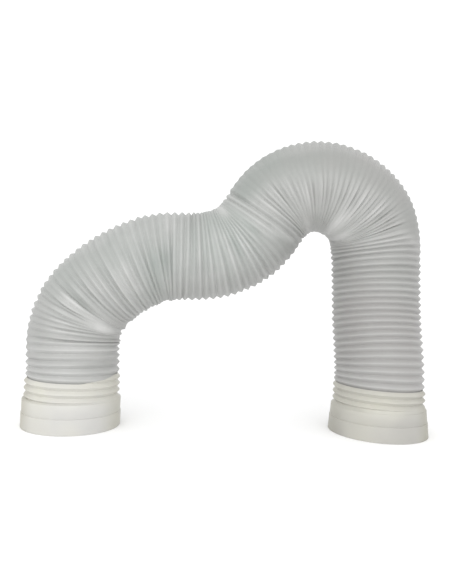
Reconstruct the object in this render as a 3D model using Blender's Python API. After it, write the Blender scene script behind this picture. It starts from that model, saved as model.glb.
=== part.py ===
"""Portable air conditioner hose: a spiral-pleated exhaust duct bent into an arch, standing on its two
screw-on cuffs. The hose is one thin film tube, and each cuff is one moulding that grips it by a thread.
"""
import math

import bmesh
import bpy
import numpy as np
from mathutils import Matrix, Vector

for old in list(bpy.data.objects):
    bpy.data.objects.remove(old, do_unlink=True)

# Hose
CREST_RADIUS = 0.0750
PLEAT_DEPTH = 0.0045
PLEAT_PITCH = 0.0111
PITCH_FULLY_STRETCHED = 0.01264
FILM_THICKNESS = 0.0009
HOSE_SIDES = 12

# Route of the hose's centreline: straight up out of each cuff, then through these points
LEFT_FOOT = (-0.2510, 0.0040)
RIGHT_FOOT = (0.2690, 0.0340)
STRAIGHT_HEIGHT = 0.0850
ROUTE = [
    (-0.2480, 0.0060, 0.1750),
    (-0.1790, 0.0070, 0.2540),
    (-0.1090, 0.0130, 0.2850),
    (-0.0360, 0.0200, 0.2905),
    (0.0375, 0.0185, 0.3265),
    (0.0770, 0.0110, 0.3825),
    (0.1210, 0.0050, 0.4095),
    (0.1965, 0.0100, 0.4015),
    (0.2440, 0.0240, 0.3575),
    (0.2560, 0.0345, 0.3075),
    (0.2640, 0.0405, 0.1800),
]

# Cuffs: the neck is threaded inside and ridged outside, and the plain skirt stands on the floor
CUFF_SIDES = 48
THREAD_CLEARANCE = 0.0003
NECK_WALL = 0.0010
SKIRT_WALL = 0.0020
SHOULDER_THICKNESS = 0.0022
RIM_CHAMFER = 0.0005
BAND_PROUD = 0.0005
BAND_SLOPE = 0.0008
CUFF_HEIGHT = 0.0800
LEFT_CUFF = {
    "neck_foot": 0.0480,
    "shoulder_drop": 0.0020,
    "skirt_top_radius": 0.0790,
    "skirt_foot_radius": 0.0795,
    "band_height": 0.0240,
}
RIGHT_CUFF = {
    "neck_foot": 0.0500,
    "shoulder_drop": 0.0050,
    "skirt_top_radius": 0.0790,
    "skirt_foot_radius": 0.0830,
    "band_height": 0.0245,
}
HOSE_PAST_LEDGE = 0.0065

END_MARGIN_PLEATS = 0.02
PLEAT_SLOPE = math.atan2(PLEAT_DEPTH, PLEAT_PITCH / 2)


def curve_through(points, start_direction, end_direction):
    """A smooth curve through the points, with both end directions given, as close-set points."""
    p = np.array(points, float)
    h = np.linalg.norm(np.diff(p, axis=0), axis=1)
    n = len(p)
    a = np.zeros((n, n))
    b = np.zeros((n, 3))
    a[0, 0] = 1.0
    a[-1, -1] = 1.0
    b[0] = start_direction
    b[-1] = end_direction
    for i in range(1, n - 1):
        a[i, i - 1] = h[i]
        a[i, i] = 2 * (h[i - 1] + h[i])
        a[i, i + 1] = h[i - 1]
        b[i] = 3 * (h[i] * (p[i] - p[i - 1]) / h[i - 1] + h[i - 1] * (p[i + 1] - p[i]) / h[i])
    slope = np.linalg.solve(a, b)
    fine = []
    for i in range(n - 1):
        u = np.linspace(0, 1, 40, endpoint=False)[:, None]
        fine.append(
            (2 * u**3 - 3 * u**2 + 1) * p[i]
            + (u**3 - 2 * u**2 + u) * h[i] * slope[i]
            + (3 * u**2 - 2 * u**3) * p[i + 1]
            + (u**3 - u**2) * h[i] * slope[i + 1]
        )
    return np.vstack(fine + [p[-1:]])


class Centreline:
    """The hose's centreline by length along it, with a frame that doesn't twist."""

    def __init__(self):
        left_top = (*LEFT_FOOT, STRAIGHT_HEIGHT)
        right_top = (*RIGHT_FOOT, STRAIGHT_HEIGHT)
        bent = curve_through([left_top, *ROUTE, right_top], (0, 0, 1), (0, 0, -1))
        rise = np.linspace(0, 1, 30, endpoint=False)[:, None]
        left = np.array([*LEFT_FOOT, 0.0]) + rise * np.array([0, 0, STRAIGHT_HEIGHT])
        fall = np.linspace(0, 1, 31)[1:, None]
        right = bent[-1] - fall * np.array([0, 0, STRAIGHT_HEIGHT])
        self.points = np.vstack([left, bent, right])
        steps = np.linalg.norm(np.diff(self.points, axis=0), axis=1)
        self.s = np.concatenate([[0], np.cumsum(steps)])
        self.length = self.s[-1]
        tangents = np.gradient(self.points, self.s, axis=0)
        tangents[self.s <= STRAIGHT_HEIGHT] = (0, 0, 1)
        tangents[self.s >= self.length - STRAIGHT_HEIGHT] = (0, 0, -1)
        self.tangents = tangents / np.linalg.norm(tangents, axis=1)[:, None]
        turning = np.gradient(self.tangents, self.s, axis=0)
        curvature = np.linalg.norm(turning, axis=1)
        # A pleat is at most fully stretched on the outside of a bend
        outer = PITCH_FULLY_STRETCHED / (1 + CREST_RADIUS * curvature)
        pitch = np.minimum(PLEAT_PITCH, outer)
        rate = 1 / pitch
        pleats = np.concatenate([[0], np.cumsum(0.5 * (rate[1:] + rate[:-1]) * steps)])
        self.pleats = pleats

    def length_at_pleat(self, pleat):
        return float(np.interp(pleat, self.pleats, self.s))

    def pleat_at_length(self, s):
        return float(np.interp(s, self.s, self.pleats))

    def place(self, s, angle, radius):
        """A point at this length, angle round the tube and radius."""
        at = np.array([np.interp(s, self.s, self.points[:, i]) for i in range(3)])
        t = np.array([np.interp(s, self.s, self.tangents[:, i]) for i in range(3)])
        t /= np.linalg.norm(t)
        across = np.array([0, 1, 0]) - t[1] * t
        across /= np.linalg.norm(across)
        up = np.cross(t, across)
        return at + radius * (math.cos(angle) * across + math.sin(angle) * up)


LINE = Centreline()


# The hose is cut flat a little past each cuff's ledge
LEFT_LEDGE = LEFT_CUFF["neck_foot"] - SHOULDER_THICKNESS
RIGHT_LEDGE = RIGHT_CUFF["neck_foot"] - SHOULDER_THICKNESS
HOSE_START = LEFT_LEDGE - HOSE_PAST_LEDGE
HOSE_END = LINE.length - RIGHT_LEDGE + HOSE_PAST_LEDGE


def plain_ring(bm, sides, s, radius):
    return [bm.verts.new(LINE.place(s, -2 * math.pi * i / sides, radius)) for i in range(sides)]


def pleated_radius(crest_radius, s, turn):
    """The wall's radius at this length, where the spiral's crest passes at turn."""
    from_crest = abs((LINE.pleat_at_length(s) - turn + 0.5) % 1 - 0.5)
    return crest_radius - 2 * PLEAT_DEPTH * from_crest


def spiral_wall(bm, sides, crest_radius, low_s, high_s):
    """A wall with one spiral pleat, cut flat at both lengths. Returns the two end rings.

    Every wall takes its pleats from the same left-handed spiral, so the angle falls as the length
    grows, by one turn a pleat.
    """
    low = []
    high = []
    for i in range(sides):
        angle = -2 * math.pi * i / sides
        for ring, s in ((low, low_s), (high, high_s)):
            radius = pleated_radius(crest_radius, s, i / sides)
            ring.append(bm.verts.new(LINE.place(s, angle, radius)))
    made = {}

    def vertex(index, shift):
        if (index, shift) not in made:
            pleat = index / sides + shift
            column = index % sides
            near = END_MARGIN_PLEATS
            if pleat < LINE.pleat_at_length(low_s) + near:
                made[index, shift] = low[column]
            elif pleat > LINE.pleat_at_length(high_s) - near:
                made[index, shift] = high[column]
            else:
                radius = crest_radius - 2 * shift * PLEAT_DEPTH
                angle = -2 * math.pi * index / sides
                spot = LINE.place(LINE.length_at_pleat(pleat), angle, radius)
                made[index, shift] = bm.verts.new(spot)
        return made[index, shift]

    first = math.floor((LINE.pleat_at_length(low_s) - 2) * sides)
    last = math.ceil((LINE.pleat_at_length(high_s) + 1) * sides)
    for i in range(first, last):
        down = (vertex(i, 0), vertex(i + 1, 0), vertex(i + 1, 0.5), vertex(i, 0.5))
        up = (vertex(i, 0.5), vertex(i + 1, 0.5), vertex(i + 1 + sides, 0), vertex(i + sides, 0))
        for face in (down, up):
            corners = list(dict.fromkeys(face))
            if len(corners) > 2:
                bm.faces.new(corners)
    return low, high


def bridge(bm, ring_a, ring_b):
    n = len(ring_a)
    for i in range(n):
        j = (i + 1) % n
        bm.faces.new((ring_a[i], ring_a[j], ring_b[j], ring_b[i]))


def finish(bm, name, colour, roughness):
    bmesh.ops.recalc_face_normals(bm, faces=bm.faces)
    mesh = bpy.data.meshes.new(name)
    bm.to_mesh(mesh)
    bm.free()
    mesh.shade_smooth()
    mesh.set_sharp_from_angle(angle=math.radians(32))
    material = bpy.data.materials.new(name)
    material.use_nodes = True
    shader = material.node_tree.nodes["Principled BSDF"]
    shader.inputs["Base Color"].default_value = (*colour, 1.0)
    shader.inputs["Roughness"].default_value = roughness
    mesh.materials.append(material)
    part = bpy.data.objects.new(name, mesh)
    bpy.context.scene.collection.objects.link(part)
    return part


def build_hose():
    inset = FILM_THICKNESS / math.cos(PLEAT_SLOPE)
    bm = bmesh.new()
    outer = spiral_wall(bm, HOSE_SIDES, CREST_RADIUS, HOSE_START, HOSE_END)
    inner = spiral_wall(bm, HOSE_SIDES, CREST_RADIUS - inset, HOSE_START, HOSE_END)
    for ring_out, ring_in in zip(outer, inner):
        bridge(bm, ring_in, ring_out)
    return finish(bm, "hose", (0.52, 0.53, 0.52), 0.45)


def build_cuff(name, cuff, length_at_height):
    thread_radius = CREST_RADIUS + THREAD_CLEARANCE / math.cos(PLEAT_SLOPE)
    neck_radius = thread_radius + NECK_WALL / math.cos(PLEAT_SLOPE)
    corner = cuff["neck_foot"] - cuff["shoulder_drop"]
    ledge = cuff["neck_foot"] - SHOULDER_THICKNESS
    top, foot, band = cuff["skirt_top_radius"], cuff["skirt_foot_radius"], cuff["band_height"]
    upper_side = top + (foot - BAND_PROUD - top) * (corner - band) / corner
    bm = bmesh.new()

    def thread(radius, neck_foot):
        ends = sorted((length_at_height(neck_foot), length_at_height(CUFF_HEIGHT)))
        rings = spiral_wall(bm, CUFF_SIDES, radius, *ends)
        rising = length_at_height(1) > length_at_height(0)
        return rings if rising else rings[::-1]

    neck_low, neck_top = thread(neck_radius, cuff["neck_foot"])
    bore_low, bore_top = thread(thread_radius, ledge)
    skirt = [
        (corner, top),
        (band + BAND_SLOPE, upper_side),
        (band, upper_side + BAND_PROUD),
        (RIM_CHAMFER, foot),
        (0.0, foot - RIM_CHAMFER),
        (0.0, foot - SKIRT_WALL + RIM_CHAMFER),
        (RIM_CHAMFER, foot - SKIRT_WALL),
        (corner - SHOULDER_THICKNESS, top - SKIRT_WALL),
    ]
    rings = [plain_ring(bm, CUFF_SIDES, length_at_height(z), r) for z, r in skirt]
    chain = [neck_low, *rings, bore_low]
    for ring_a, ring_b in zip(chain, chain[1:]):
        bridge(bm, ring_a, ring_b)
    bridge(bm, neck_top, bore_top)
    return finish(bm, name, (0.68, 0.67, 0.62), 0.35)


def stand_on_origin(parts):
    """Moves the part so that the middle of its outline on the floor is the origin."""
    points = np.array([v.co for part in parts for v in part.data.vertices])
    low, high = points.min(axis=0), points.max(axis=0)
    move = Vector(((low[0] + high[0]) / -2, (low[1] + high[1]) / -2, -low[2]))
    for part in parts:
        part.data.transform(Matrix.Translation(move))
    return move


built = [
    build_hose(),
    build_cuff("left_cuff", LEFT_CUFF, lambda z: z),
    build_cuff("right_cuff", RIGHT_CUFF, lambda z: LINE.length - z),
]
moved = stand_on_origin(built)
print("pleats on the whole centreline", round(LINE.pleats[-1], 1), "length", round(LINE.length, 4))
print("moved by", [round(x, 5) for x in moved])
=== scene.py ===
import math

import bpy
import numpy as np
from mathutils import Matrix, Vector


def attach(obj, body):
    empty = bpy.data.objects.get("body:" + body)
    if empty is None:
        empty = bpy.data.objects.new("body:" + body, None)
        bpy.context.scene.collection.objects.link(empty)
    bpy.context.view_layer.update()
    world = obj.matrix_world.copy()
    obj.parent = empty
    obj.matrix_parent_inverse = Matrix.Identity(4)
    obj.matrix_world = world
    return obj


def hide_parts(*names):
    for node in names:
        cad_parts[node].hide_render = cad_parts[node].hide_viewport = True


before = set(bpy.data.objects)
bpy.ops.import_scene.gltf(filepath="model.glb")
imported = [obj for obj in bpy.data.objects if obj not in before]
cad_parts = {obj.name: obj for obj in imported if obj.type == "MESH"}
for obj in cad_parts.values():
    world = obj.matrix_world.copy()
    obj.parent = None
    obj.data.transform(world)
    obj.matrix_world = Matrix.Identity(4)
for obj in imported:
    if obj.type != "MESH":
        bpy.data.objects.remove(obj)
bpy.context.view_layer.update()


# CAMERA
# It stands a little below the arch's mid height, 0.83 m in front of the origin, and is tipped
# 1.4 degrees up and rolled 2.2 degrees. AUTO fit gives the long side to sensor_width.
CAMERA_PLACE = (-0.0118, -0.8335, 0.2098)
CAMERA_TIP = 0.0243
CAMERA_ROLL = 0.0382
LENS_PIXELS = 485.4
IMAGE_HEIGHT = 584

camera_data = bpy.data.cameras.new("camera")
camera_data.sensor_width = 36
camera_data.lens = LENS_PIXELS * camera_data.sensor_width / IMAGE_HEIGHT
camera = bpy.data.objects.new("camera", camera_data)
bpy.context.scene.collection.objects.link(camera)
camera.matrix_world = (
    Matrix.Translation(CAMERA_PLACE)
    @ Matrix.Rotation(math.pi / 2 + CAMERA_TIP, 4, "X")
    @ Matrix.Rotation(CAMERA_ROLL, 4, "Z")
)
bpy.context.scene.camera = camera
bpy.context.scene.view_settings.view_transform = "Standard"


# HOSE
# One tube of thin polypropylene film, folded into a single left-handed spiral pleat from end
# to end. It holds its own shape: stretched smooth outside its bends, bunched up inside them.
# Its two ends are screwed into the cuffs.
CREST_RADIUS = 0.0750
PLEAT_DEPTH = 0.0045
PLEAT_PITCH = 0.0111
PITCH_FULLY_STRETCHED = 0.01264
FILM_THICKNESS = 0.0009
LEFT_FOOT = (-0.2510, 0.0040)
RIGHT_FOOT = (0.2690, 0.0340)
STRAIGHT_HEIGHT = 0.0850
ROUTE = [
    (-0.2480, 0.0060, 0.1750),
    (-0.1790, 0.0070, 0.2540),
    (-0.1090, 0.0130, 0.2850),
    (-0.0360, 0.0200, 0.2905),
    (0.0375, 0.0185, 0.3265),
    (0.0770, 0.0110, 0.3825),
    (0.1210, 0.0050, 0.4095),
    (0.1965, 0.0100, 0.4015),
    (0.2440, 0.0240, 0.3575),
    (0.2560, 0.0345, 0.3075),
    (0.2640, 0.0405, 0.1800),
]
ROUTE_TO_ORIGIN = (-0.01075, -0.02075, 0.0)
LEFT_END_HEIGHT = 0.0393
RIGHT_END_HEIGHT = 0.0413
STRAIGHT_STEPS = 30
STEPS_BETWEEN_POINTS = 40
HOSE_COLUMNS = 64
# From one crest to the next: how far along, and how deep
PLEAT_SHAPE = [
    (0.0, 0.0), (0.06, 0.06), (0.25, 0.46), (0.43, 0.90),
    (0.5, 1.0), (0.57, 0.90), (0.75, 0.46), (0.94, 0.06),
]
# and the same on the film's inner side, which is plainer
LINING_SHAPE = [(0.0, 0.0), (0.5, 1.0)]


def curve_through(points, start_direction, end_direction):
    """A smooth curve through the points, with both end directions given."""
    p = np.array(points, float)
    h = np.linalg.norm(np.diff(p, axis=0), axis=1)
    n = len(p)
    a = np.zeros((n, n))
    b = np.zeros((n, 3))
    a[0, 0] = a[-1, -1] = 1.0
    b[0], b[-1] = start_direction, end_direction
    for i in range(1, n - 1):
        a[i, i - 1 : i + 2] = h[i], 2 * (h[i - 1] + h[i]), h[i - 1]
        b[i] = 3 * (h[i] * (p[i] - p[i - 1]) / h[i - 1] + h[i - 1] * (p[i + 1] - p[i]) / h[i])
    slope = np.linalg.solve(a, b)
    u = np.linspace(0, 1, STEPS_BETWEEN_POINTS, endpoint=False)[:, None]
    fine = [
        (2 * u**3 - 3 * u**2 + 1) * p[i]
        + (u**3 - 2 * u**2 + u) * h[i] * slope[i]
        + (3 * u**2 - 2 * u**3) * p[i + 1]
        + (u**3 - u**2) * h[i] * slope[i + 1]
        for i in range(n - 1)
    ]
    return np.vstack(fine + [p[-1:]])


# The centreline as points, and at each one the length, direction, bend and pleat number
bent = curve_through(
    [(*LEFT_FOOT, STRAIGHT_HEIGHT), *ROUTE, (*RIGHT_FOOT, STRAIGHT_HEIGHT)], (0, 0, 1), (0, 0, -1)
)
rise = np.linspace(0, 1, STRAIGHT_STEPS, endpoint=False)[:, None] * (0, 0, STRAIGHT_HEIGHT)
fall = np.linspace(1, 0, STRAIGHT_STEPS + 1)[1:, None] * (0, 0, STRAIGHT_HEIGHT)
line = np.vstack([(*LEFT_FOOT, 0) + rise, bent, (*RIGHT_FOOT, 0) + fall]) + ROUTE_TO_ORIGIN
step = np.linalg.norm(np.diff(line, axis=0), axis=1)
along = np.concatenate([[0], np.cumsum(step)])
route_length = along[-1]
tangent = np.gradient(line, along, axis=0)
tangent[along <= STRAIGHT_HEIGHT] = (0, 0, 1)
tangent[along >= route_length - STRAIGHT_HEIGHT] = (0, 0, -1)
tangent /= np.linalg.norm(tangent, axis=1)[:, None]
bend = np.gradient(tangent, along, axis=0)
pitch = np.minimum(
    PLEAT_PITCH, PITCH_FULLY_STRETCHED / (1 + CREST_RADIUS * np.linalg.norm(bend, axis=1))
)
rate = 1 / pitch
pleat = np.concatenate([[0], np.cumsum(0.5 * (rate[1:] + rate[:-1]) * step)])


def on_centreline(values, s):
    """The centreline's points, directions or bends at these lengths."""
    return np.stack([np.interp(s, along, values[:, i]) for i in range(3)], axis=-1)


def place(s, angle, radius):
    """Points at this length, angle round the tube and radius, and the way out there.

    The angle is 0 at the back and half a turn at the front.
    """
    t = on_centreline(tangent, s)
    t /= np.linalg.norm(t, axis=-1, keepdims=True)
    across = np.array([0, 1, 0]) - t[..., 1:2] * t
    across /= np.linalg.norm(across, axis=-1, keepdims=True)
    outward = np.cos(angle)[..., None] * across + np.sin(angle)[..., None] * np.cross(t, across)
    return on_centreline(line, s) + radius[..., None] * outward, outward


# How deep a pleat is where its crests stand this far apart: pinched flat, folded, drawn smooth
DEPTH_BY_PITCH = [
    (0.0, 0.0004), (0.0042, 0.0010), (0.0058, 0.0019), (0.0075, 0.0030), (0.0090, 0.0040),
    (PLEAT_PITCH, PLEAT_DEPTH), (PITCH_FULLY_STRETCHED, 0.0043),
]
# Where the crests crowd together, the fold between them closes to a narrow slit
SLIT_BY_PITCH = [(0.0050, 2.7), (0.0095, 1.0)]
# How much of its depth a pleat keeps on the outside of the bends, by length along the hose:
# along the outermost line, and beside it
OUTERMOST_DEPTH = [
    (0.095, 1.0), (0.105, 0.3), (0.150, 0.3), (0.165, 1.0), (0.510, 1.0), (0.540, 0.12),
    (0.610, 0.10), (0.640, 0.7), (0.740, 0.8), (0.775, 0.35), (0.800, 0.12), (0.870, 0.12),
    (0.900, 0.7), (0.920, 1.0),
]
BESIDE_DEPTH = [
    (0.120, 1.0), (0.150, 0.7), (0.200, 0.55), (0.300, 0.55), (0.360, 1.0), (0.510, 1.0),
    (0.540, 0.12), (0.640, 0.12), (0.740, 0.25), (0.800, 0.12), (0.870, 0.12), (0.900, 0.7),
    (0.920, 1.0),
]
# How much of the folds' irregularity there is, by length along the hose
UNRULY = [(0.780, 1.0), (0.840, 0.25)]
# How much higher up the hose the folds of the right leg run at its front than at its sides
FRONT_LIFT = [(0.720, 0.0), (0.840, 0.0150), (0.900, 0.0100), (0.960, 0.0075), (1.065, 0.0)]

# Each pair says where something begins and where all of it is there.
# By metres along the hose from the nearer foot: a fold is clear of its cuff
CLEAR_OF_CUFF = (0.085, 0.115)
# By metres from crest to crest: folds crowd, and more layers gather
CROWDED = (0.0105, 0.0080)
GATHERED = (0.0105, 0.0045)
# By the tube's radius over the bend's: the tube is bent, and its middle creases
BENT = (0.0, 0.15)
CREASED = (0.0, 0.35)
# By how much the bend shortens the film there: it is inside the bend, and pinched
INSIDE = (0.0, 0.45)
PINCHED = (0.50, 0.75)
# and by how far that is from its value in the middle: it lies across the middle
MIDDLE_SQUEEZE = 0.05
ACROSS_MIDDLE = (0.30, 0.0)
# By how far out in the bend it lies, from 0 across its middle to 1 along its outermost line
OUTERMOST = (0.76, 0.92)
BESIDE = (0.05, 0.40)

# The pleats lean together in waves, on the inside of a bend and across its middle: how many
# pleats to a wave, how high it is, and how much of that there is by length along the hose
INNER_WAVE = (4.3, 0.0014, [(0.38, 1.0), (0.44, 0.3)])
MIDDLE_WAVE = (2.2, 0.0006, [(0.34, 1.6), (0.42, 1.0)])
# How far a wave pushes its pleats together, how far it strays, and its least and most
WAVE_LEAN = 0.035
WAVE_DRIFT = 6
WAVE_RANGE = (0.2, 1.8)
# Where the film puffs out smooth over its pinched pleats: the middle of each such place, as
# length along the hose and degrees round it, how far it reaches both ways, and how much painted
# light it gets
PUFFS = [
    (0.190, 226, 0.028, 26, 0.5),
    (0.497, 125, 0.022, 26, 0.2),
    (0.612, 242, 0.014, 22, 0.4),
    (0.713, 240, 0.026, 38, 0.8),
    (0.752, 240, 0.016, 30, 0.6),
]
# How high a puff stands, how much it flattens the folds under it, and how widely
PUFF_HEIGHT = 0.0012
PUFF_FLATTENS = 0.85
PUFF_FLAT_SPREAD = 1.3
# How much of the irregularity is left where folds don't crowd, how much of a crest's radius
# the inside of a bend steadies, and the least and most of its depth that a fold gets
UNRULY_IF_SPACED = 0.35
STEADY_INSIDE = 0.8
DEPTH_RANGE = (0.3, 1.12)
# How much painted light the film's colour gets, as light coming through: at a full fold,
# gathered folds, a pinched one, one in a cuff
FOLD_LIGHT = 0.55
GATHERED_LIGHT = 0.20
PINCHED_LIGHT = 0.55
CUFF_LIGHT = 0.10
# and how much painted shade takes off it at the bottom of a fold, by length along the hose
GROOVE_SHADE = [(0.110, 0.06), (0.180, 0.04), (0.760, 0.02), (0.850, 0.36)]

rng = np.random.default_rng(11)
AIMS = 1400
AIM_SMOOTHING = [0.25, 0.5, 0.25]


def wander(turns, reach):
    """A random value that drifts along the spiral, with a new aim after this many turns."""
    aims = np.convolve(rng.normal(0, 1, AIMS), AIM_SMOOTHING, "same")
    return lambda k: reach * np.interp(np.asarray(k) / turns, np.arange(AIMS), aims)


depth_wander = wander(0.16, 0.42)
spacing_wander = wander(0.23, 0.17)
crest_wander = wander(0.30, 0.0008)
group_wander = wander(1.9, 0.35)
wave_wander = wander(0.5, 0.8)
streak_wander = wander(0.25, 0.26)


def share(value, nothing, everything):
    """0 up to one bound and 1 from the other one on, with a straight run in between."""
    return np.clip((value - nothing) / (everything - nothing), 0, 1)


def look_up(table, value):
    """What a list of pairs gives for this value, straight from row to row."""
    return np.interp(value, *zip(*table))


def fold_at(k, angle):
    """The length at which crest k lies, its radius, how deep and how narrow the fold after
    it is, and how much painted light the film's colour gets there, as if lit through the gathered
    film."""
    s = np.interp(k, pleat, along)
    _, outward = place(s, angle, np.zeros_like(s))
    turning = on_centreline(bend, s)
    tightness = np.linalg.norm(turning, axis=-1) * CREST_RADIUS
    squeeze = np.einsum("...i,...i->...", outward, turning) * CREST_RADIUS
    outwards = -squeeze / np.maximum(tightness, 1e-6)
    local_pitch = np.interp(s, along, pitch) * (1 - squeeze)

    clear = share(np.minimum(s, route_length - s), *CLEAR_OF_CUFF)
    crowded = share(local_pitch, *CROWDED)
    unruly = clear * look_up(UNRULY, s) * (UNRULY_IF_SPACED + (1 - UNRULY_IF_SPACED) * crowded)
    inside = share(squeeze, *INSIDE)
    middle = share(tightness, *CREASED) * share(np.abs(squeeze - MIDDLE_SQUEEZE), *ACROSS_MIDDLE)
    outermost = share(tightness, *BENT) * share(outwards, *OUTERMOST)
    beside = share(tightness, *BENT) * share(outwards, *BESIDE) * (1 - outermost)
    # The film is drawn fully smooth at the front, and half as much at the back
    front = 0.75 - 0.25 * np.cos(angle)

    depth = look_up(DEPTH_BY_PITCH, local_pitch)
    depth *= 1 - front * outermost * (1 - look_up(OUTERMOST_DEPTH, s))
    depth *= 1 - front * beside * (1 - look_up(BESIDE_DEPTH, s))
    depth *= np.clip(1 + unruly * depth_wander(k), *DEPTH_RANGE)
    radius = CREST_RADIUS + unruly * crest_wander(k) * (1 - STEADY_INSIDE * inside)
    shift = unruly * (spacing_wander(k) + group_wander(k) * np.clip(squeeze, 0, 1))
    for (pleats, height, shares), here in ((INNER_WAVE, inside), (MIDDLE_WAVE, middle)):
        wave = 2 * math.pi * k / pleats + WAVE_DRIFT * group_wander(k)
        strength = clear * here * look_up(shares, s) * np.clip(1 + wave_wander(k), *WAVE_RANGE)
        radius = radius + strength * height * np.cos(wave)
        shift = shift - WAVE_LEAN * pleats * strength * np.sin(wave)

    # Painted light: gathered film is painted lighter, as lit through from fold to fold, with light
    # streaks across a bend's middle, and a single stretched layer is painted darker, as shade
    light = FOLD_LIGHT * depth / PLEAT_DEPTH + GATHERED_LIGHT * share(local_pitch, *GATHERED)
    light = light + clear * middle * look_up(MIDDLE_WAVE[2], s) * streak_wander(k)
    light = light + CUFF_LIGHT * (1 - clear) + PINCHED_LIGHT * share(squeeze, *PINCHED)
    for middle_s, degrees, reach, spread, puff_light in PUFFS:
        away = (np.degrees(angle) - degrees + 180) % 360 - 180
        puff = np.exp(-(((s - middle_s) / reach) ** 2) * 2 - (away / spread) ** 2 * 2)
        depth = depth * (1 - PUFF_FLATTENS * np.clip(puff * PUFF_FLAT_SPREAD, 0, 1))
        radius = radius + PUFF_HEIGHT * puff
        light = light + puff_light * puff

    crest_s = np.interp(k + shift, pleat, along) + look_up(FRONT_LIFT, s) * np.cos(angle)
    return crest_s, radius, depth, look_up(SLIT_BY_PITCH, local_pitch), light


def pleated_sheet(shape, start, end, inset):
    """The pleated tube as one column of points per angle, each column cut at both lengths.

    Gives the points, how much painted light comes through at each one, and the number of the
    point that each column has at each step, from below the start to above the end.
    """
    between, deep = (np.array(x) for x in zip(*shape))
    # Two turns and more to spare beyond each cut
    first = math.floor(np.interp(start, along, pleat)) - 2
    turns = math.ceil(np.interp(end, along, pleat)) + 3 - first
    points, lights, numbers = [], [], []
    for column in range(HOSE_COLUMNS):
        k = first + np.arange(turns + 1) + column / HOSE_COLUMNS
        angle = -2 * math.pi * column / HOSE_COLUMNS
        crest_s, radius, depth, slit, light = fold_at(k, np.full(len(k), angle))
        s = (crest_s[:-1, None] + np.diff(crest_s)[:, None] * between).ravel()
        lean = radius[:-1, None] + np.diff(radius)[:, None] * between
        r = (lean - depth[:-1, None] * deep ** slit[:-1, None]).ravel() - inset
        low, high = np.searchsorted(s, start) - 1, np.searchsorted(s, end)
        r[low], r[high] = np.interp([start, end], s, r)
        s[low], s[high] = start, end
        kept = slice(low, high + 1)
        placed, _ = place(s[kept], np.full(high + 1 - low, angle), r[kept])
        numbers.append(np.clip(np.arange(len(s)), low, high) - low + sum(map(len, points)))
        points.append(placed)
        # Painted shade at the bottom of each fold, taken off the painted light
        shade = look_up(GROOVE_SHADE, crest_s[:-1, None])
        light = light[:-1, None] + np.diff(light)[:, None] * between
        light = light - shade * deep * depth[:-1, None] / PLEAT_DEPTH
        lights.append(light.ravel()[kept])
    return np.vstack(points), np.concatenate(lights), np.array(numbers)


def sheet_faces(numbers, steps_a_turn):
    """Faces between neighbouring columns, with none where a cut left only one point."""
    faces = []
    for column in range(HOSE_COLUMNS):
        here = numbers[column]
        # The last column meets the first one a whole turn further on
        last = column == HOSE_COLUMNS - 1
        beside = numbers[0][steps_a_turn:] if last else numbers[column + 1]
        steps = min(len(here), len(beside)) - 1
        quads = np.stack([here[:steps], here[1 : steps + 1], beside[1 : steps + 1], beside[:steps]])
        faces += [list(dict.fromkeys(quad)) for quad in quads.T.tolist()]
    return [face for face in faces if len(face) > 2]


ends = LEFT_END_HEIGHT, route_length - RIGHT_END_HEIGHT
skin, skin_light, skin_numbers = pleated_sheet(PLEAT_SHAPE, *ends, 0.0)
lining, lining_light, lining_numbers = pleated_sheet(LINING_SHAPE, *ends, FILM_THICKNESS)
lining_numbers = lining_numbers + len(skin)
film_faces = sheet_faces(skin_numbers, len(PLEAT_SHAPE))
film_faces += [face[::-1] for face in sheet_faces(lining_numbers, len(LINING_SHAPE))]
# The film's edge at both ends, from skin to lining
for end, turned in ((0, 1), (-1, -1)):
    skin_ring, lining_ring = skin_numbers[:, end].tolist(), lining_numbers[:, end].tolist()
    for i in range(HOSE_COLUMNS):
        j = (i + 1) % HOSE_COLUMNS
        film_faces.append([skin_ring[i], skin_ring[j], lining_ring[j], lining_ring[i]][::turned])
film_mesh = bpy.data.meshes.new("pleated_film")
film_mesh.from_pydata(np.vstack([skin, lining]).tolist(), [], film_faces)
# The painted light and shade that the film's colour takes, kept at each point
light_attribute = film_mesh.attributes.new("lit_through", "FLOAT", "POINT")
light_attribute.data.foreach_set(
    "value", np.concatenate([skin_light, lining_light]).astype(np.float32)
)
film_mesh.shade_smooth()
film = bpy.data.objects.new("pleated_film", film_mesh)
bpy.context.scene.collection.objects.link(film)


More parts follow.
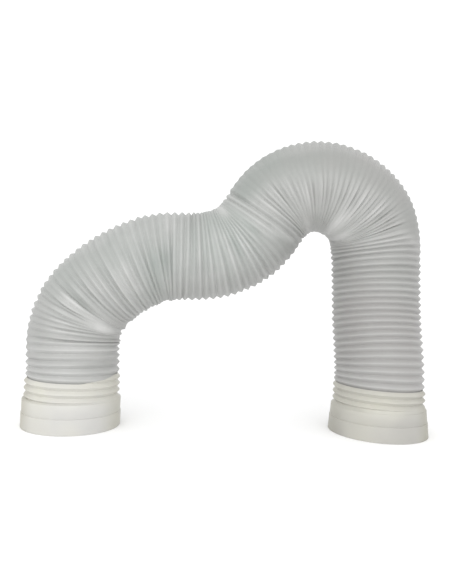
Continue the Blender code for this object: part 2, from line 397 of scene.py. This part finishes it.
class Wire:
    """One output of a material's node, on which sums are written as on a number."""

    def __init__(self, tree, socket=None):
        self.tree, self.socket = tree, socket

    def node(self, kind, settings, sockets, output=0):
        """Any node of this material, with numbers, colours or other wires in its sockets."""
        made = self.tree.nodes.new(kind)
        for name, value in settings.items():
            setattr(made, name, value)
        for name, value in sockets.items():
            if isinstance(value, Wire):
                self.tree.links.new(value.socket, made.inputs[name])
            else:
                made.inputs[name].default_value = value
        return Wire(self.tree, made.outputs[output])

    def maths(self, operation, a, b):
        return self.node("ShaderNodeMath", {"operation": operation}, {0: a, 1: b})

    def __add__(self, other):
        return self.maths("ADD", self, other)

    def __radd__(self, other):
        return self.maths("ADD", other, self)

    def __mul__(self, other):
        return self.maths("MULTIPLY", self, other)

    def __rmul__(self, other):
        return self.maths("MULTIPLY", other, self)

    def coordinate(self, axis):
        """One of these coordinates: 0, 1 and 2 are X, Y and Z."""
        return self.node("ShaderNodeSeparateXYZ", {}, {0: self}, output=axis)

    def blend(self, colour_0, colour_1):
        """The first colour where this value is 0, the second one where it is 1."""
        return self.node(
            "ShaderNodeMix", {"data_type": "RGBA"}, {0: self, 6: colour_0, 7: colour_1}, output=2
        )

    def over(self, low, high):
        """This value's run from low to high, as 0 to 1."""
        return self.node(
            "ShaderNodeMapRange", {"interpolation_type": "SMOOTHSTEP"}, {0: self, 1: low, 2: high}
        )

    def speckle(self, scale, detail):
        """Cloudy noise over these coordinates."""
        return self.node(
            "ShaderNodeTexNoise", {}, {"Vector": self, "Scale": scale, "Detail": detail}
        )

    def bump(self, distance, strength):
        """Surface normals for a height of this value."""
        return self.node(
            "ShaderNodeBump", {}, {"Height": self, "Distance": distance, "Strength": strength}
        )

    def into(self, socket):
        """Feeds this output to a socket of the shader."""
        self.tree.links.new(self.socket, socket)


def new_plastic(name):
    """A plastic material, its coordinates and its shader's sockets."""
    material = bpy.data.materials.new(name)
    material.use_nodes = True
    coordinates = Wire(material.node_tree).node("ShaderNodeTexCoord", {}, {}, output=3)
    return material, coordinates, material.node_tree.nodes["Principled BSDF"].inputs


# The film is greyish white and satin, greener over the middle of the hose and pinker towards its
# feet and its right side. Painted shade darkens it towards its right side, and painted light
# makes it lighter where gathered folds are lit through
FILM_GREEN = (0.207, 0.233, 0.216, 1)
FILM_PINK = (0.262, 0.254, 0.248, 1)
# the colour of the painted light, where gathered folds are lit through
FILM_LIT = (0.475, 0.476, 0.466, 1)
# the colour of the painted shade on the film's right side
FILM_SHADE = (0.215, 0.210, 0.202, 1)
PINK_BY_HEIGHT = (0.30, 0.16)
PINK_BY_SIDE = (-0.02, 0.16)
# where the painted shade on the right side begins and is full, and how strong it is at most
SHADE_BY_SIDE = (-0.12, 0.22)
MOST_SHADE = 0.22
# How fine and how detailed the patches of pink, the clouds and the grain are
FILM_PATCHES = (9.0, 3.0)
FILM_CLOUDS = (34.0, 4.0)
FILM_GRAIN = (160.0, 3.0)
# From which value to which the patches turn pink, and how much pink they add
PATCHES_TURN_PINK = (0.3, 0.7)
PATCHES_PINK = 0.3
# The share of the painted light that comes through, and the roughness: the least, and what
# clouds add
LEAST_LIT = 0.7
CLOUDS_LIT = 0.6
FILM_ROUGHNESS = 0.36
CLOUDS_ROUGHNESS = 0.16
# How high the grain stands, and how strongly it shows
FILM_GRAIN_RELIEF = (0.0006, 0.35)

film_plastic, here, shader = new_plastic("satin film")
lit_through = here.node("ShaderNodeAttribute", {"attribute_name": "lit_through"}, {}, output=2)
pink = here.coordinate(2).over(*PINK_BY_HEIGHT) + here.coordinate(0).over(*PINK_BY_SIDE)
pink = pink * 0.5 + here.speckle(*FILM_PATCHES).over(*PATCHES_TURN_PINK) * PATCHES_PINK
clouds = here.speckle(*FILM_CLOUDS)
# Painted light: where the film is painted as lit through, its colour turns to the lit colour
lit = lit_through * (LEAST_LIT + CLOUDS_LIT * clouds)
colour = lit.blend(pink.blend(FILM_GREEN, FILM_PINK), FILM_LIT)
# Painted shade: the film is darkened towards its right side
colour = (here.coordinate(0).over(*SHADE_BY_SIDE) * MOST_SHADE).blend(colour, FILM_SHADE)
colour.into(shader["Base Color"])
(FILM_ROUGHNESS + CLOUDS_ROUGHNESS * clouds).into(shader["Roughness"])
here.speckle(*FILM_GRAIN).bump(*FILM_GRAIN_RELIEF).into(shader["Normal"])
film.data.materials.append(film_plastic)

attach(film, "root")
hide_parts("hose")


# CUFFS
# Two sleeves of cream plastic, each moulded in one: a neck with the hose's own spiral thread,
# a shoulder, and a plain skirt with a slightly wider band round its foot. The hose screws
# into the neck, whose top edge follows the thread and steps up one turn at its start.
CUFF_COLUMNS = 96
CUFF_HEIGHT = 0.0800
THREAD_CLEARANCE = 0.0003
NECK_WALL = 0.0010
SKIRT_WALL = 0.0020
RIM_CHAMFER = 0.0006
BAND_PROUD = 0.0009
# The band's rounded top edge, and the shallow groove above it
BAND_EDGE_HEIGHT = 0.0006
BAND_EDGE_ROUND = 0.0001
GROOVE_DEPTH = 0.0003
GROOVE_HALF_HEIGHT = 0.0008
# The rounded corner between skirt and shoulder: how far in, and how far down
CORNER_SHAPE = [(0.0, 0.0010), (0.0003, 0.0003), (0.0012, 0.0)]
NECK_STEPS = 48
# From one crest of the neck's thread to the next: how far along, and how deep
NECK_SHAPE = [
    (0.0, 0.0), (0.04, 0.05), (0.46, 0.95), (0.5, 1.0), (0.54, 0.95), (0.96, 0.05), (1.0, 0.0),
]
THREAD_START_SPREAD = math.radians(65)
SLANT = math.atan2(PLEAT_DEPTH, PLEAT_PITCH / 2)
NECK_CREST_RADIUS = CREST_RADIUS + (THREAD_CLEARANCE + NECK_WALL) / math.cos(SLANT)
SHARP_EDGE = math.radians(40)
LEFT_CUFF = {
    "neck_foot": 0.0480,
    "shoulder_drop": 0.0020,
    "skirt_top_radius": 0.0790,
    "skirt_foot_radius": 0.0795,
    "band_height": 0.0240,
    "thread_start": math.radians(201),
}
RIGHT_CUFF = {
    "neck_foot": 0.0500,
    "shoulder_drop": 0.0050,
    "skirt_top_radius": 0.0790,
    "skirt_foot_radius": 0.0830,
    "band_height": 0.0245,
    "thread_start": math.radians(350),
}


def build_cuff(name, foot, thread_turns, size):
    """One cuff over its foot, which the hose's spiral reaches after thread_turns turns."""
    neck_foot, band, thread_start = size["neck_foot"], size["band_height"], size["thread_start"]
    top_radius, foot_radius = size["skirt_top_radius"], size["skirt_foot_radius"]
    corner = neck_foot - size["shoulder_drop"]
    upper_radius = top_radius + (foot_radius - BAND_PROUD - top_radius) * (corner - band) / corner
    radius, height = foot_radius - RIM_CHAMFER, 0.0
    bpy.ops.object.select_all(action="DESELECT")
    bpy.ops.mesh.primitive_circle_add(vertices=CUFF_COLUMNS, radius=radius, location=(0, 0, 0))
    cuff = bpy.context.object
    cuff.name = cuff.data.name = name
    bpy.ops.object.mode_set(mode="EDIT")
    bpy.ops.mesh.select_all(action="SELECT")
    skirt = [
        (foot_radius, RIM_CHAMFER),
        (upper_radius + BAND_PROUD, band - BAND_EDGE_HEIGHT),
        (upper_radius + BAND_PROUD - BAND_EDGE_ROUND, band),
        (upper_radius - GROOVE_DEPTH, band + GROOVE_HALF_HEIGHT),
        (upper_radius, band + 2 * GROOVE_HALF_HEIGHT),
        *[(top_radius - inwards, corner - down) for inwards, down in CORNER_SHAPE],
    ]
    neck = [(NECK_CREST_RADIUS, neck_foot)] * (NECK_STEPS + 1)
    for next_radius, next_height in skirt + neck:
        bpy.ops.mesh.extrude_region_move(
            TRANSFORM_OT_translate={"value": (0, 0, next_height - height)}
        )
        grow = next_radius / radius
        bpy.ops.transform.resize(value=(grow, grow, 1), center_override=(0, 0, next_height))
        radius, height = next_radius, next_height
    bpy.ops.object.mode_set(mode="OBJECT")

    # The neck's rings are pressed into the thread and drawn up to its edge, which lies in the
    # thread's groove and climbs one turn at the start
    rings = np.array([v.co for v in cuff.data.vertices]).reshape(-1, CUFF_COLUMNS, 3)
    turn = np.arctan2(-rings[0, :, 0], rings[0, :, 1])
    past_start = (turn - thread_start) % (2 * math.pi)
    climb = np.clip(past_start / THREAD_START_SPREAD, 0, 1)
    climb = climb * climb * (3 - 2 * climb) - 1
    edge_turns = math.floor(CUFF_HEIGHT / PLEAT_PITCH) + 0.5 + thread_turns % 1
    top = PLEAT_PITCH * (edge_turns - (past_start + thread_start) / (2 * math.pi) + 1 + climb)
    z = neck_foot + (top - neck_foot) * (np.arange(NECK_STEPS + 1) / NECK_STEPS)[:, None]
    phase = (z / PLEAT_PITCH + turn / (2 * math.pi) - thread_turns) % 1
    r = NECK_CREST_RADIUS - PLEAT_DEPTH * look_up(NECK_SHAPE, phase)
    neck_rings = rings[-(NECK_STEPS + 1):]
    neck_rings[..., 0] = -r * np.sin(turn)
    neck_rings[..., 1] = r * np.cos(turn)
    neck_rings[..., 2] = z
    cuff.data.vertices.foreach_set("co", rings.ravel())

    # The wall: two millimetres in the skirt, one in the neck
    wall = cuff.vertex_groups.new(name="wall")
    neck_start = (len(skirt) + 1) * CUFF_COLUMNS
    wall.add(list(range(neck_start)), 1.0, "REPLACE")
    wall.add(list(range(neck_start, len(cuff.data.vertices))), NECK_WALL / SKIRT_WALL, "REPLACE")
    bpy.ops.object.mode_set(mode="EDIT")
    bpy.ops.mesh.select_all(action="SELECT")
    bpy.ops.mesh.normals_make_consistent(inside=False)
    bpy.ops.object.mode_set(mode="OBJECT")
    solidify = cuff.modifiers.new("wall", "SOLIDIFY")
    solidify.thickness = SKIRT_WALL
    solidify.offset = -1
    solidify.vertex_group = "wall"
    bpy.ops.object.modifier_apply(modifier="wall")
    cuff.data.transform(Matrix.Translation((*foot, 0)))
    bpy.ops.object.shade_smooth_by_angle(angle=SHARP_EDGE)
    return cuff


left_cuff = build_cuff("left_cuff_moulding", line[0][:2], 0.0, LEFT_CUFF)
right_cuff = build_cuff("right_cuff_moulding", line[-1][:2], pleat[-1], RIGHT_CUFF)

# Cream plastic with a faint sheen, warmer towards the neck and in patches, yellower in the
# strongest of them. Painted shade darkens and yellows each cuff at its two sides, most at the
# outer one, and the right cuff's colours are painted darker all over, as shade.
# Each list has a cuff's white, its cream, and the darker yellow of its painted shade and patches.
LEFT_COLOURS = [(0.470, 0.465, 0.448, 1), (0.535, 0.527, 0.472, 1), (0.375, 0.362, 0.305, 1)]
# The right cuff's colours are a darker copy of the left one's, painted shade
RIGHT_COLOURS = [(0.365, 0.357, 0.335, 1), (0.480, 0.472, 0.415, 1), (0.300, 0.290, 0.240, 1)]
LEFT_WHITEST_X = line[0][0] + 0.010
RIGHT_WHITEST_X = line[-1][0] - 0.012
WARM_BY_HEIGHT = (0.030, 0.060)
# Painted shade at the sides, by the square of the sideways distance from the whitest place
SIDE_SHADE_BY_SQUARE = (0.0022, 0.0066)
CUFF_PATCHES = (13.0, 2.0)
CUFF_GRAIN = (420.0, 2.0)
CUFF_GRAIN_RELIEF = (0.0003, 0.25)
# From which value to which the patches turn warm or yellow, and how much yellow they add
PATCHES_TURN_WARM = (0.35, 0.7)
PATCHES_TURN_YELLOW = (0.5, 0.8)
PATCHES_YELLOW = 0.15
# The least roughness, and what the patches and the grain add
CUFF_ROUGHNESS = 0.30
PATCHES_ROUGHNESS = 0.10
GRAIN_ROUGHNESS = 0.06
for cuff, node, whitest_x, (white, cream, shaded_yellow) in (
    (left_cuff, "left_cuff", LEFT_WHITEST_X, LEFT_COLOURS),
    (right_cuff, "right_cuff", RIGHT_WHITEST_X, RIGHT_COLOURS),
):
    cuff_plastic, here, shader = new_plastic(node + " plastic")
    patches = here.speckle(*CUFF_PATCHES)
    grain = here.speckle(*CUFF_GRAIN)
    warm = here.coordinate(2).over(*WARM_BY_HEIGHT) * 0.5 + patches.over(*PATCHES_TURN_WARM) * 0.5
    # Painted shade: darker and yellower towards both sides, with the yellow patches added to it
    sideways = here.coordinate(0) + -whitest_x
    side_shade_and_yellow = (sideways * sideways).over(*SIDE_SHADE_BY_SQUARE)
    side_shade_and_yellow = side_shade_and_yellow + patches.over(*PATCHES_TURN_YELLOW) * PATCHES_YELLOW
    side_shade_and_yellow.blend(warm.blend(white, cream), shaded_yellow).into(shader["Base Color"])
    roughness = CUFF_ROUGHNESS + PATCHES_ROUGHNESS * patches + GRAIN_ROUGHNESS * grain
    roughness.into(shader["Roughness"])
    grain.bump(*CUFF_GRAIN_RELIEF).into(shader["Normal"])
    cuff.data.materials.append(cuff_plastic)
    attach(cuff, "root")
    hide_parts(node)


# FLOOR AND LIGHT
# A plain near-white floor that runs out of view under an even white sky, with two broad soft
# lamps above and in front, the left one a little higher and stronger.
FLOOR_SIZE = 30
FLOOR_WHITE = (0.94, 0.94, 0.94, 1)
FLOOR_ROUGHNESS = 0.9
SKY_WHITE = (1, 1, 1, 1)
SKY_STRENGTH = 1.12
LAMP_SIZE = 1.0
# Each lamp's name, its place, what it is aimed at, and its watts
LAMPS = [
    ("lamp_left", (-0.38, -1.00, 0.65), (-0.15, 0.0, 0.20), 4.2),
    ("lamp_right", (0.28, -1.02, 0.55), (0.05, 0.0, 0.20), 3.1),
]

bpy.ops.object.select_all(action="DESELECT")
bpy.ops.mesh.primitive_plane_add(size=FLOOR_SIZE, location=(0, 0, 0))
floor = bpy.context.object
floor.name = "floor"
floor_paint = bpy.data.materials.new("floor paint")
floor_paint.use_nodes = True
floor_shader = floor_paint.node_tree.nodes["Principled BSDF"].inputs
floor_shader["Base Color"].default_value = FLOOR_WHITE
floor_shader["Roughness"].default_value = FLOOR_ROUGHNESS
floor.data.materials.append(floor_paint)
world = bpy.data.worlds.new("world")
world.use_nodes = True
world.node_tree.nodes["Background"].inputs["Color"].default_value = SKY_WHITE
world.node_tree.nodes["Background"].inputs["Strength"].default_value = SKY_STRENGTH
bpy.context.scene.world = world
for name, lamp_place, lamp_aim, watts in LAMPS:
    lamp_data = bpy.data.lights.new(name, "AREA")
    lamp_data.shape = "DISK"
    lamp_data.size = LAMP_SIZE
    lamp_data.energy = watts
    lamp = bpy.data.objects.new(name, lamp_data)
    bpy.context.scene.collection.objects.link(lamp)
    lamp.matrix_world = Matrix.Translation(lamp_place) @ (
        (Vector(lamp_aim) - Vector(lamp_place)).to_track_quat("-Z", "Y").to_matrix().to_4x4()
    )
